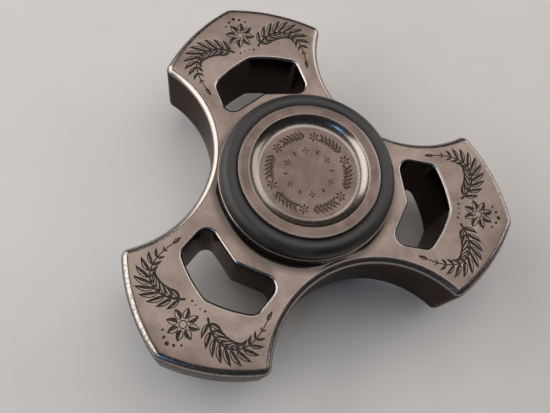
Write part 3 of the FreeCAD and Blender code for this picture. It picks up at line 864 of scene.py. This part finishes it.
def hub_profile():
    """From the boss's upper edge down the bores and out again to its lower edge."""
    crown = [(BOSS_RADIUS - 0.05, BOSS_TOP - 0.02), (BOSS_RADIUS - HUB_BREAK, BOSS_TOP)]
    upper = crown + [(HUB_BORE + HUB_BREAK, BOSS_TOP), (HUB_BORE, BOSS_TOP - HUB_BREAK)]
    groove = [(HUB_BORE, SNAP_GROOVE_TOP), (SNAP_GROOVE_RADIUS, SNAP_GROOVE_TOP)]
    seat = [(SNAP_GROOVE_RADIUS, BEARING_FACE), (BEARING_RADIUS, BEARING_FACE)]
    ledge = [(BEARING_RADIUS, -BEARING_FACE), (LEDGE_RADIUS, -BEARING_FACE), (LEDGE_RADIUS, -BOSS_TOP)]
    lower = [(radius, -height) for radius, height in reversed(crown)]
    return upper + groove + seat + ledge + lower


def make_body():
    maker = Maker()
    outline = body_outline()
    windows = [window_outline(arm) for arm in range(ARMS)]
    walls = [(outline, EDGE_ROUND)] + [(window, WINDOW_EDGE_ROUND) for window in windows]
    bounds = [(inset(wall, radius), rounding_rings(maker, wall, radius)) for wall, radius in walls]
    upper, lower = sweep_rings(maker, 1), sweep_rings(maker, -1)
    maker.strips(upper[::-1])
    maker.strips(lower)
    maker.lathe(hub_profile(), start=upper[-1], end=lower[-1])
    bounds.append((sweep_outline(0), (upper[0], lower[0])))
    ornament = arm_ornament()
    shapes = [shape for arm in range(ARMS) for shape in moved(ornament, arm * ARM_STEP)]
    for level, up in ((0, 1), (1, -1)):
        loops = [(rings[level], points) for points, rings in bounds]
        maker.flat(loops, shapes, up * FACE, up, ORNAMENT_DEPTH)
    body = maker.build("body_shell", [BODY_STEEL, BODY_ETCH])
    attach(body, "spinner")
    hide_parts("spinner_body")
    return body


# ---------------------------------------------------------------- buttons and rubber rings


RING_SECTION = (RING_TOP - RING_LOW) / 2
RING_HEIGHT = (RING_TOP + RING_LOW) / 2
RING_MEAN = RING_OUTER - RING_SECTION
RING_GROOVE = RING_SECTION + RING_CLEARANCE


def groove_angle(run, rise):
    return math.degrees(math.atan2(rise, run))


def button_profile():
    """From the dish's floor over the rim, the ring groove and the flange to the end of the spigot."""
    floor = RIM_TOP - DISH_DEPTH
    run = DISH_RADIUS - DISH_FLOOR_RADIUS
    cove = (run**2 + DISH_DEPTH**2) / (2 * DISH_DEPTH)
    steepest = math.degrees(math.asin(run / cove)) - 1.5
    dish = arc_points((DISH_FLOOR_RADIUS, floor + cove), cove, -90, steepest - 90, 16)[1:]
    rim = [
        (DISH_RADIUS + 0.01, RIM_TOP - 0.02),
        (DISH_RADIUS + 0.08, RIM_TOP),
        (RIM_RADIUS - 0.14, RIM_TOP),
        (RIM_RADIUS - 0.045, RIM_TOP - 0.04),
        (RIM_RADIUS, RIM_TOP - 0.13),
    ]
    across = RIM_RADIUS - RING_MEAN
    up = math.sqrt(RING_GROOVE**2 - across**2)
    down = LIP_HEIGHT - RING_HEIGHT
    out = math.sqrt(RING_GROOVE**2 - down**2)
    first = groove_angle(across, up)
    last = 360 + groove_angle(out, down)
    groove = arc_points((RING_MEAN, RING_HEIGHT), RING_GROOVE, first, last, 24)
    lip = [
        (FLANGE_RADIUS - 0.05, LIP_HEIGHT),
        (FLANGE_RADIUS, LIP_HEIGHT - 0.05),
        (FLANGE_RADIUS, FLANGE_LOW + 0.2),
        (FLANGE_RADIUS - 0.06, FLANGE_LOW + 0.06),
        (FLANGE_RADIUS - 0.2, FLANGE_LOW),
    ]
    neck = [(NECK_RADIUS, FLANGE_LOW), (NECK_RADIUS, SPACER_FACE)]
    spigot = [
        (SPIGOT_RADIUS, SPACER_FACE),
        (SPIGOT_RADIUS, SPIGOT_END + SPIGOT_BEVEL),
        (SPIGOT_RADIUS - SPIGOT_BEVEL, SPIGOT_END),
        (STUD_HOLE_RADIUS, SPIGOT_END),
    ]
    return [*dish, *rim, *groove, *lip, *neck, *spigot], floor


def make_button(side):
    maker = Maker()
    profile, floor = button_profile()
    edge = circle_points(DISH_FLOOR_RADIUS, TURN_STEPS)
    edge_ring = maker.ring(edge, floor)
    inner = [point * (DISH_CENTRE_RADIUS / DISH_FLOOR_RADIUS) for point in edge]
    inner_ring = maker.ring(inner, floor)
    centre = maker.add_points([(0, 0, floor)])[0]
    for number in range(TURN_STEPS):
        maker.face((inner_ring[number], inner_ring[(number + 1) % TURN_STEPS], centre))
    maker.flat([(edge_ring, edge), (inner_ring, inner)], button_ornament(), floor, 1, ETCH_DEPTH)
    rings = maker.lathe(profile[::-1], end=edge_ring)
    bore_end = maker.circle(STUD_HOLE_RADIUS, STUD_HOLE_END)
    maker.strip(bore_end, rings[0])
    hole_floor = maker.add_points([(0, 0, STUD_HOLE_END)])[0]
    for number in range(TURN_STEPS):
        maker.face((bore_end[number], hole_floor, bore_end[(number + 1) % TURN_STEPS]))
    piece = maker.build(f"{side}_cap", [BUTTON_STEEL, BUTTON_ETCH], flip=side == "lower", sharp=30)
    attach(piece, "held_core")
    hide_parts(f"{side}_button")
    return piece


def make_ring(side):
    """A rubber ring with the faint seam that its mould leaves round its outside."""
    maker = Maker()
    steps = 56
    profile = []
    for number in range(steps):
        angle = 2 * math.pi * number / steps
        swell = SEAM_HEIGHT * math.exp(-((math.degrees(angle) + 180) % 360 - 180) ** 2 / SEAM_SPREAD)
        radius = RING_SECTION - SEAM_HEIGHT + swell
        profile.append((RING_MEAN + radius * math.cos(angle), RING_HEIGHT + radius * math.sin(angle)))
    rings = [maker.circle(radius, height) for radius, height in profile]
    for one, other in zip(rings, rings[1:] + rings[:1]):
        maker.strip(other, one)
    piece = maker.build(f"{side}_rubber_ring", [RING_RUBBER], flip=side == "lower", sharp=80)
    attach(piece, "held_core")
    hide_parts(f"{side}_button_ring")
    return piece


def finish_inner_pieces():
    """The sealed pieces keep their CAD shapes and get their own metals."""
    slots = {row["node"]: row["material_slot"] for row in frame["record"]["subparts"]}
    for node, piece in frame["nodes"].items():
        metal = INNER_METALS.get(slots[node])
        if metal:
            piece.data.materials.clear()
            piece.data.materials.append(metal)
            for face in piece.data.polygons:
                face.material_index = 0


# ---------------------------------------------------------------- studio


def make_floor():
    mesh = bpy.data.meshes.new("floor")
    half = 3.0
    level = -(RIM_TOP + 0.02) * MM
    corners = [(-half, -half, level), (half, -half, level), (half, half, level), (-half, half, level)]
    mesh.from_pydata(corners, [], [(0, 1, 2, 3)])
    floor = bpy.data.objects.new("floor", mesh)
    bpy.context.scene.collection.objects.link(floor)
    material, tree, shader, place = material_tree("pale_floor")
    shade = fitted(tree, noise(tree, place, 30, 3), 0.3, 0.7)
    tone = blended(tree, shade, (0.62, 0.605, 0.59), (0.66, 0.645, 0.63))
    tree.links.new(tone, shader.inputs["Base Color"])
    shader.inputs["Roughness"].default_value = 0.8
    shader.inputs["Specular IOR Level"].default_value = 0.2
    mesh.materials.append(material)


def soft_light(name, bearing, elevation, distance, size, power, colour=(1, 1, 1)):
    """A rectangular lamp that faces the object. bearing runs from +X towards +Y, in degrees."""
    lamp = bpy.data.lights.new(name, "AREA")
    lamp.shape = "RECTANGLE"
    lamp.size, lamp.size_y = size
    lamp.energy = power
    lamp.color = colour
    item = bpy.data.objects.new(name, lamp)
    bpy.context.scene.collection.objects.link(item)
    flat, rise = math.radians(bearing), math.radians(elevation)
    way = Vector((math.cos(flat) * math.cos(rise), math.sin(flat) * math.cos(rise), math.sin(rise)))
    item.location = way * distance
    item.rotation_euler = way.to_track_quat("Z", "Y").to_euler()


def make_lights():
    world = bpy.data.worlds.new("studio")
    bpy.context.scene.world = world
    world.use_nodes = True
    background = world.node_tree.nodes["Background"]
    background.inputs["Color"].default_value = (0.04, 0.04, 0.042, 1)
    background.inputs["Strength"].default_value = 1.0
    soft_light("window_side", 147, 26, 0.42, (0.61, 0.4), 2.0, (1, 0.975, 0.94))
    soft_light("overhead", 47, 70, 0.6, (0.58, 0.58), 1.95, (1, 0.965, 0.94))
    soft_light("far_side", 6, 24, 0.5, (0.47, 0.36), 0.85, (1, 0.965, 0.93))
    soft_light("sky_gap", 211, 34, 0.5, (0.07, 0.06), 0.14, (0.2, 0.5, 1.0))
    bpy.context.scene.view_settings.view_transform = "Standard"


def make_camera():
    """The camera looks down steeply from near the object, rolled as a hand-held one is."""
    data = bpy.data.cameras.new("camera")
    data.lens = 38.3
    data.sensor_width = 36
    data.clip_start = 0.001
    camera = bpy.data.objects.new("camera", data)
    bpy.context.scene.collection.objects.link(camera)
    bpy.context.scene.camera = camera
    azimuth, elevation, roll = math.radians(-40.72), math.radians(69.11), math.radians(20.17)
    distance = 75.42
    target = Vector((-4.89, -1.83, FACE))
    back = Vector(
        (
            math.sin(azimuth) * math.cos(elevation),
            -math.cos(azimuth) * math.cos(elevation),
            math.sin(elevation),
        )
    )
    level = Vector((0, 0, 1)).cross(back).normalized()
    rise = back.cross(level)
    right = level * math.cos(roll) + rise * math.sin(roll)
    up = rise * math.cos(roll) - level * math.sin(roll)
    turn = Matrix((right, up, back)).transposed().to_4x4()
    camera.matrix_world = Matrix.Translation((target + back * distance) * MM) @ turn


make_body()
for side in ("upper", "lower"):
    make_button(side)
    make_ring(side)
finish_inner_pieces()
make_floor()
make_lights()
make_camera()
bpy.context.view_layer.update()
